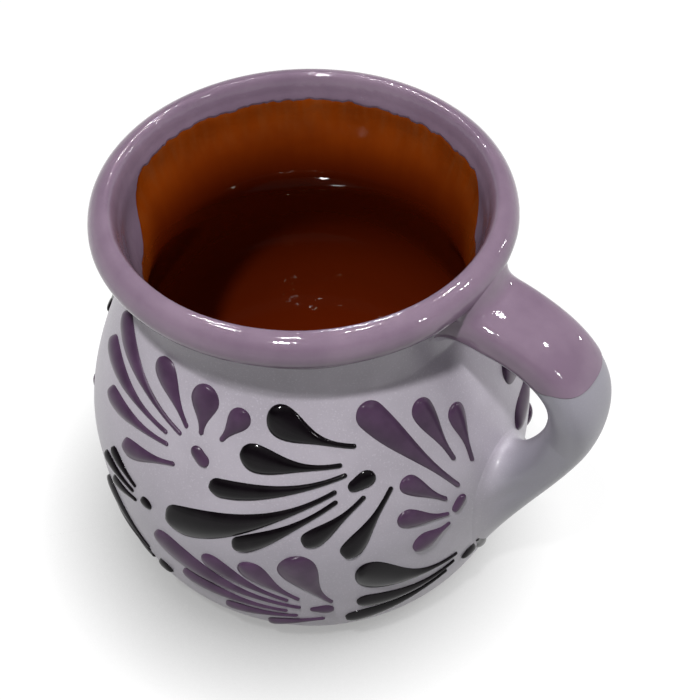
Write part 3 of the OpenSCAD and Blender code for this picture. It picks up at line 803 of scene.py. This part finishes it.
def strokeRow(tailAngle, tailZ, headAngle, headZ, head, bend, swell, tail=trail["tail"] / mm):
    # one stroke as the tree reads it: where it starts, which way it runs, and its sizes
    z = (tailZ + headZ) / 2 * mm
    perAngle = float(wallRadius(z))
    perHeight = 1 / math.cos(lean(z))
    step = np.array((math.radians(headAngle - tailAngle) * perAngle, (headZ - tailZ) * mm * perHeight))
    reach = float(np.linalg.norm(step))
    run = step / reach
    side = np.array((-run[1], run[0]))
    return {
        "base": (math.radians(tailAngle), tailZ * mm, bend * mm),
        "along": (run[0] / perAngle, run[1] / perHeight, swell),
        "across": (side[0] / perAngle, side[1] / perHeight, 0),
        "sizes": (reach, head * mm, tail * mm),
    }


def dotRow(fromAngle, fromZ, toAngle, toZ, thin, thick):
    return strokeRow(fromAngle, fromZ, toAngle, toZ, thick, 0, 1, thin)


def fillFan(angle, z, first, last, count, head):
    sizes = trail["fill"]
    rows = [dotRow(angle - sizes["dotSpan"], z, angle, z, sizes["dot"], sizes["dot"])]
    for i in range(count):
        way = first + (last - first) * i / (count - 1)
        reach = sizes["gap"] + (sizes["long"] if way > sizes["steep"] else sizes["short"])
        across, up = math.cos(math.radians(way)), math.sin(math.radians(way))
        step = (math.degrees(across * mm / pot["bellyRadius"]), up)
        rows.append(strokeRow(angle + sizes["gap"] * step[0], z + sizes["gap"] * step[1],
                              angle + reach * step[0], z + reach * step[1], head, 0, sizes["swell"]))
    return rows


def strokeTree():
    tree = bpy.data.node_groups.new("slipTrailedStrokes", "GeometryNodeTree")
    face = tree.interface
    face.new_socket("Geometry", in_out="OUTPUT", socket_type="NodeSocketGeometry")
    for name, kind in (("Strokes", "Geometry"), ("Wall", "Object"), ("Rise", "Float"),
                       ("Full width", "Float"), ("Seat", "Float"), ("Dome", "Float"), ("Sides", "Int"),
                       ("Rings", "Int"), ("Slip", "Material")):
        face.new_socket(name, in_out="INPUT", socket_type="NodeSocket" + kind)
    given = addNode(tree, "NodeGroupInput").outputs

    # a closed tube for each stroke
    tube = addNode(tree, "GeometryNodeMeshCylinder", {"fill_type": "TRIANGLE_FAN"},
                   {"Vertices": given["Sides"], "Side Segments": given["Rings"], "Radius": 1.0, "Depth": 1.0})
    spot = addNode(tree, "GeometryNodeInputPosition").outputs["Position"]
    vectors = {"data_type": "FLOAT_VECTOR"}
    marked = addNode(tree, "GeometryNodeStoreNamedAttribute", dict(vectors, domain="POINT"),
                     {"Geometry": tube.outputs["Mesh"], "Name": "ring", "Value": spot})
    placed = addNode(tree, "GeometryNodeInstanceOnPoints", None,
                     {"Points": given["Strokes"], "Instance": marked.outputs["Geometry"]})
    solid = addNode(tree, "GeometryNodeRealizeInstances", None, {"Geometry": placed.outputs["Instances"]})

    # where each point sits on its tube, and what its stroke was told
    value = {socket.name: socket for socket in given}
    told = {"ring": ("sideways", "upward", "onward"), "base": ("tailAngle", "tailZ", "bend"),
            "along": ("runAngle", "runZ", "swell"), "across": ("sideAngle", "sideZ"),
            "sizes": ("reach", "head", "tail")}
    for name, parts in told.items():
        field = addNode(tree, "GeometryNodeInputNamedAttribute", vectors, {"Name": name})
        split = addNode(tree, "ShaderNodeSeparateXYZ", None, {"Vector": field.outputs[0]})
        value.update(zip(parts, split.outputs))

    # each step has a name, what it does and what it takes, and a later step may take a name over
    steps = [
        ("share", "MULTIPLY", "onward", math.pi),  # rows lie closer at both ends
        ("share", "SINE", "share"),
        ("share", "MULTIPLY_ADD", "share", 0.5, 0.5),
        ("whole", "ADD", "reach", "head"),
        ("run", "MULTIPLY", "share", "whole"),
        ("grown", "SMOOTHSTEP", "run", 0.0, "reach"),  # half width along the teardrop
        ("grown", "POWER", "grown", "swell"),
        ("widening", "SUBTRACT", "head", "tail"),
        ("half", "MULTIPLY_ADD", "grown", "widening", "tail"),
        ("pastHead", "SUBTRACT", "run", "reach"),
        ("pastHead", "DIVIDE", "pastHead", "head"),
        ("shortOfTail", "DIVIDE", "run", "tail"),
        ("shortOfTail", "SUBTRACT", 1.0, "shortOfTail"),
    ]
    for end in ("pastHead", "shortOfTail"):  # both ends are round
        steps += [
            ("near", "MAXIMUM", end, 0.0),
            ("near", "MINIMUM", "near", 1.0),
            ("near", "MULTIPLY", "near", "near"),
            ("near", "SUBTRACT", 1.0, "near"),
            ("near", "SQRT", "near"),
            ("half", "MULTIPLY", "half", "near"),
        ]
    steps += [
        ("full", "DIVIDE", "half", "Full width"),  # flat below, domed above
        ("full", "MINIMUM", "full", 1.0),
        ("full", "SQRT", "full"),
        ("bulge", "MAXIMUM", "upward", 0.0),
        ("bulge", "POWER", "bulge", "Dome"),
        ("under", "MINIMUM", "upward", 0.0),
        ("under", "MULTIPLY", "under", "Seat"),
        ("lift", "MULTIPLY", "full", "Rise"),
        ("lift", "MULTIPLY_ADD", "lift", "bulge", "under"),
        ("sag", "SUBTRACT", 1.0, "share"),  # bent most in the middle
        ("sag", "MULTIPLY", "share", "sag"),
        ("sag", "MULTIPLY", "sag", 4.0),
        ("sag", "MULTIPLY", "sag", "bend"),
        ("aside", "MULTIPLY_ADD", "half", "sideways", "sag"),
        ("angle", "MULTIPLY_ADD", "runAngle", "run", "tailAngle"),  # laid along its line on the wall
        ("angle", "MULTIPLY_ADD", "sideAngle", "aside", "angle"),
        ("height", "MULTIPLY_ADD", "runZ", "run", "tailZ"),
        ("height", "MULTIPLY_ADD", "sideZ", "aside", "height"),
        ("cosine", "COSINE", "angle"),
        ("sine", "SINE", "angle"),
        ("outX", "MULTIPLY", "cosine", trail["rayFrom"]),
        ("outY", "MULTIPLY", "sine", trail["rayFrom"]),
        ("inX", "MULTIPLY", "cosine", -1.0),
        ("inY", "MULTIPLY", "sine", -1.0),
    ]
    for name, how, *taken in steps:
        inputs = {i: value.get(term, term) for i, term in enumerate(taken)}
        if how == "SMOOTHSTEP":
            node = addNode(tree, "ShaderNodeMapRange", {"interpolation_type": how}, inputs)
        else:
            node = addNode(tree, "ShaderNodeMath", {"operation": how}, inputs)
        value[name] = node.outputs[0]

    # and dropped on the wall
    fromOut = addNode(tree, "ShaderNodeCombineXYZ", None,
                      {"X": value["outX"], "Y": value["outY"], "Z": value["height"]})
    inward = addNode(tree, "ShaderNodeCombineXYZ", None, {"X": value["inX"], "Y": value["inY"]})
    wall = addNode(tree, "GeometryNodeObjectInfo", None, {"Object": given["Wall"]})
    normal = addNode(tree, "GeometryNodeInputNamedAttribute", vectors, {"Name": "wallNormal"})
    hit = addNode(tree, "GeometryNodeRaycast", dict(vectors, mapping="INTERPOLATED"),
                  {"Target Geometry": wall.outputs["Geometry"], "Attribute": normal.outputs[0],
                   "Source Position": fromOut.outputs["Vector"], "Ray Direction": inward.outputs["Vector"],
                   "Ray Length": trail["rayLength"]})
    proud = addNode(tree, "ShaderNodeVectorMath", {"operation": "SCALE"},
                    {0: hit.outputs["Attribute"], "Scale": value["lift"]})
    there = addNode(tree, "ShaderNodeVectorMath", {"operation": "ADD"},
                    {0: hit.outputs["Hit Position"], 1: proud.outputs["Vector"]})
    laid = addNode(tree, "GeometryNodeSetPosition", None,
                   {"Geometry": solid.outputs["Geometry"], "Position": there.outputs["Vector"]})
    soft = addNode(tree, "GeometryNodeSetShadeSmooth", None, {0: laid.outputs[0]})
    slip = addNode(tree, "GeometryNodeSetMaterial", None,
                   {"Geometry": soft.outputs[0], "Material": given["Slip"]})
    addNode(tree, "NodeGroupOutput", None, {"Geometry": slip.outputs["Geometry"]})
    return tree


def layStrokes(name, rows, fan, tree, guide):
    mesh = bpy.data.meshes.new(name)
    mesh.from_pydata([(0, 0, 0)] * len(rows), [], [])
    for key in strokeFields:
        field = mesh.attributes.new(key, "FLOAT_VECTOR", "POINT")
        field.data.foreach_set("vector", np.array([row[key] for row in rows], np.float32).ravel())
    piece = bpy.data.objects.new(name, mesh)
    bpy.context.scene.collection.objects.link(piece)
    nodes = piece.modifiers.new("strokes", "NODES")
    nodes.node_group = tree
    values = {"Wall": guide, "Rise": trail["rise"], "Full width": trail["fullWidth"], "Seat": trail["seat"],
              "Dome": trail["dome"], "Sides": trail["sides"], "Rings": trail["rings"],
              "Slip": fan["material"]}
    for item in tree.interface.items_tree:
        if item.in_out == "INPUT" and item.name in values:
            nodes[item.identifier] = values[item.name]
    bpy.context.view_layer.update()
    graph = bpy.context.evaluated_depsgraph_get()
    laid = bpy.data.meshes.new_from_object(piece.evaluated_get(graph))
    piece.modifiers.remove(nodes)
    piece.data = laid
    for key in ("ring",) + strokeFields:
        if key in laid.attributes:
            laid.attributes.remove(laid.attributes[key])
    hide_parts(fan["node"])
    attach(piece, "root")
    return piece


guide = wallGuide()
strokes = strokeTree()
for name, fan in fans.items():
    near = [dotRow(*fan["dot"])] + [strokeRow(*s) for s in fan["strokes"]]
    far = []
    for row in near:
        angle, z, bend = row["base"]
        far.append(dict(row, base=(angle + math.radians(trail["farTurn"]), z, bend)))
    layStrokes(name, near + far, fan, strokes, guide)
for name, fan in fills.items():
    layStrokes(name, [row for f in fan["fans"] for row in fillFan(*f)], fan, strokes, guide)
bpy.data.objects.remove(guide)
print("strokes laid")


# Pale table and backdrop, a main lamp with a fill, and small lamps that only glint in the glaze
studio = {
    "floorSize": 40.0,
    "floorGlow": 0.95,
    "floorDiffuse": 0.1,
    "floorColour": "#8c8c8c",  # what the table throws back at the mug
    "pool": (0.34, 1.4, 0.72),  # the table is white up to the first distance, and at the second this bright
    "shadeTilt": (60, 20),  # the table's shade falls away from this direction, by this tilt
    "shade": {"reach": 32 * mm, "closed": 0.3, "open": 0.88, "darkest": 0.36},  # by the share of open sky
    "sky": [(0.0, 0.08), (0.6, 0.08), (0.82, 0.42), (1.0, 0.5)],  # dark walls, white ceiling
    "seenSky": [(0.0, 0.8), (0.1, 0.74), (0.4, 0.14), (0.6, 0.08), (0.82, 0.42), (1.0, 0.5)],  # pale backdrop
    "lampDistance": 1.5,
    "lampAim": 50 * mm,
    "key": (-76, 66, 50 * mm, 16.5),  # direction round the mug, angle above the table, radius, watts
    "fill": (47, 32, 250 * mm, 8.0),  # a wide lamp beyond the handle, left out of the glints
    "glintRadius": 34 * mm,
    "glints": [  # direction, angle and watts
        (180, 84, 3.0), (85, 58, 3.0), (122, 47, 2.6), (47, 47, 2.6), (160, 68, 2.6), (57, 18, 1.1),
        (3, 36, 1.6), (100, 72, 2.0), (140, 56, 2.0)],
}


def seenRay(tree):  # 1 where the camera, a reflection or a clear material looks
    path = addNode(tree, "ShaderNodeLightPath").outputs
    seen = path["Is Camera Ray"]
    for ray in ("Is Glossy Ray", "Is Transmission Ray"):
        seen = addNode(tree, "ShaderNodeMath", {"operation": "MAXIMUM"}, {0: seen, 1: path[ray]}).outputs[0]
    return seen


def studioFloor():
    half, shaded = studio["floorSize"] / 2, studio["shade"]
    material, tree = newMaterial("paleTable")
    seen = seenRay(tree)
    matt = addNode(tree, "ShaderNodeBsdfDiffuse", None, {"Color": toLinear(studio["floorColour"])})
    shade = addNode(tree, "ShaderNodeBsdfDiffuse", None, {"Color": (studio["floorDiffuse"],) * 3 + (1,)})
    place = addNode(tree, "ShaderNodeTexCoord").outputs["Object"]
    away = addNode(tree, "ShaderNodeVectorMath", {"operation": "LENGTH"}, {0: place}).outputs["Value"]
    pool = addNode(tree, "ShaderNodeMapRange", {"interpolation_type": "SMOOTHSTEP"}, {
        "Value": away, "From Min": studio["pool"][0], "From Max": studio["pool"][1],
        "To Min": studio["floorGlow"], "To Max": studio["pool"][2]})
    turn, tilt = (math.radians(a) for a in studio["shadeTilt"])
    sky = addNode(tree, "ShaderNodeCombineXYZ", None, {
        "X": math.sin(tilt) * math.cos(turn), "Y": math.sin(tilt) * math.sin(turn), "Z": math.cos(tilt)})
    near = addNode(tree, "ShaderNodeAmbientOcclusion", {"samples": 16}, {
        "Distance": shaded["reach"], "Normal": sky.outputs["Vector"]})
    openSky = addNode(tree, "ShaderNodeMapRange", None, {
        "Value": near.outputs["AO"], "From Min": shaded["closed"], "From Max": shaded["open"],
        "To Min": shaded["darkest"]})
    bright = addNode(tree, "ShaderNodeMath", {"operation": "MULTIPLY"}, {
        0: openSky.outputs["Result"], 1: pool.outputs["Result"]})
    glow = addNode(tree, "ShaderNodeEmission", None, {"Color": (1, 1, 1, 1), "Strength": bright.outputs[0]})
    white = addNode(tree, "ShaderNodeAddShader", None, {0: shade.outputs[0], 1: glow.outputs[0]})
    top = addNode(tree, "ShaderNodeMixShader", None, {0: seen, 1: matt.outputs[0], 2: white.outputs[0]})
    back = addNode(tree, "ShaderNodeNewGeometry").outputs["Backfacing"]
    clear = addNode(tree, "ShaderNodeBsdfTransparent")  # from below, the table is not there
    both = addNode(tree, "ShaderNodeMixShader", None, {0: back, 1: top.outputs[0], 2: clear.outputs[0]})
    addNode(tree, "ShaderNodeOutputMaterial", None, {"Surface": both.outputs[0]})
    floor = makePiece("paleTable", [(-half, -half, 0), (half, -half, 0), (half, half, 0), (-half, half, 0)],
                      [(0, 1, 2, 3)], material)


def studioLight():
    world = bpy.data.worlds.new("room")
    world.use_nodes = True
    tree = world.node_tree
    tree.nodes.clear()
    way = addNode(tree, "ShaderNodeTexCoord").outputs["Generated"]
    rise = addNode(tree, "ShaderNodeSeparateXYZ", None, {"Vector": way}).outputs["Z"]
    backs = []
    for key in ("sky", "seenSky"):
        stops = [(at, (level,) * 3 + (1.0,)) for at, level in studio[key]]
        sky = addNode(tree, "ShaderNodeValToRGB", None, {"Fac": rise}, stops)
        backs.append(addNode(tree, "ShaderNodeBackground", None, {"Color": sky.outputs["Color"]}).outputs[0])
    both = addNode(tree, "ShaderNodeMixShader", None, {0: seenRay(tree), 1: backs[0], 2: backs[1]})
    addNode(tree, "ShaderNodeOutputWorld", None, {"Surface": both.outputs[0]})
    bpy.context.scene.world = world
    lamps = [studio["key"] + (True, True), studio["fill"] + (True, False)]
    lamps += [(turn, rise, studio["glintRadius"], watts, False, True)
              for turn, rise, watts in studio["glints"]]
    for i, (turn, rise, radius, watts, lights, glints) in enumerate(lamps):
        turn, rise = math.radians(turn), math.radians(rise)
        way = Vector((math.cos(rise) * math.cos(turn), math.cos(rise) * math.sin(turn), math.sin(rise)))
        light = bpy.data.lights.new("ceilingLamp" + str(i), "AREA")
        light.shape = "DISK"
        light.size = radius * 2
        light.energy = watts
        lamp = bpy.data.objects.new(light.name, light)
        lamp.rotation_mode = "QUATERNION"
        lamp.rotation_quaternion = way.to_track_quat("Z", "Y")
        lamp.location = way * studio["lampDistance"] + Vector((0, 0, studio["lampAim"]))
        lamp.visible_diffuse = lights
        lamp.visible_glossy = glints
        bpy.context.scene.collection.objects.link(lamp)


# The photograph's viewpoint
view = {"place": (128.97 * mm, -181.90 * mm, 289.10 * mm), "turn": 33.0, "tilt": 46.9, "roll": -1.16,
        "lens": 72.0, "sensor": 36.0, "nearest": 10 * mm}


def photoCamera():
    turn, tilt, roll = (math.radians(view[k]) for k in ("turn", "tilt", "roll"))
    right = Vector((math.cos(turn), math.sin(turn), 0))
    back = Vector((math.sin(turn) * math.cos(tilt), -math.cos(turn) * math.cos(tilt), math.sin(tilt)))
    up = back.cross(right)
    across = right * math.cos(roll) + up * math.sin(roll)
    upright = up * math.cos(roll) - right * math.sin(roll)
    data = bpy.data.cameras.new("photoView")
    data.lens = view["lens"]
    data.sensor_width = view["sensor"]
    data.clip_start = view["nearest"]
    camera = bpy.data.objects.new("photoView", data)
    camera.matrix_world = Matrix((across, upright, back)).transposed().to_4x4()
    camera.location = view["place"]
    bpy.context.scene.collection.objects.link(camera)
    bpy.context.scene.camera = camera


studioFloor()
studioLight()
photoCamera()
bpy.context.scene.view_settings.view_transform = "Standard"
print("studio set")
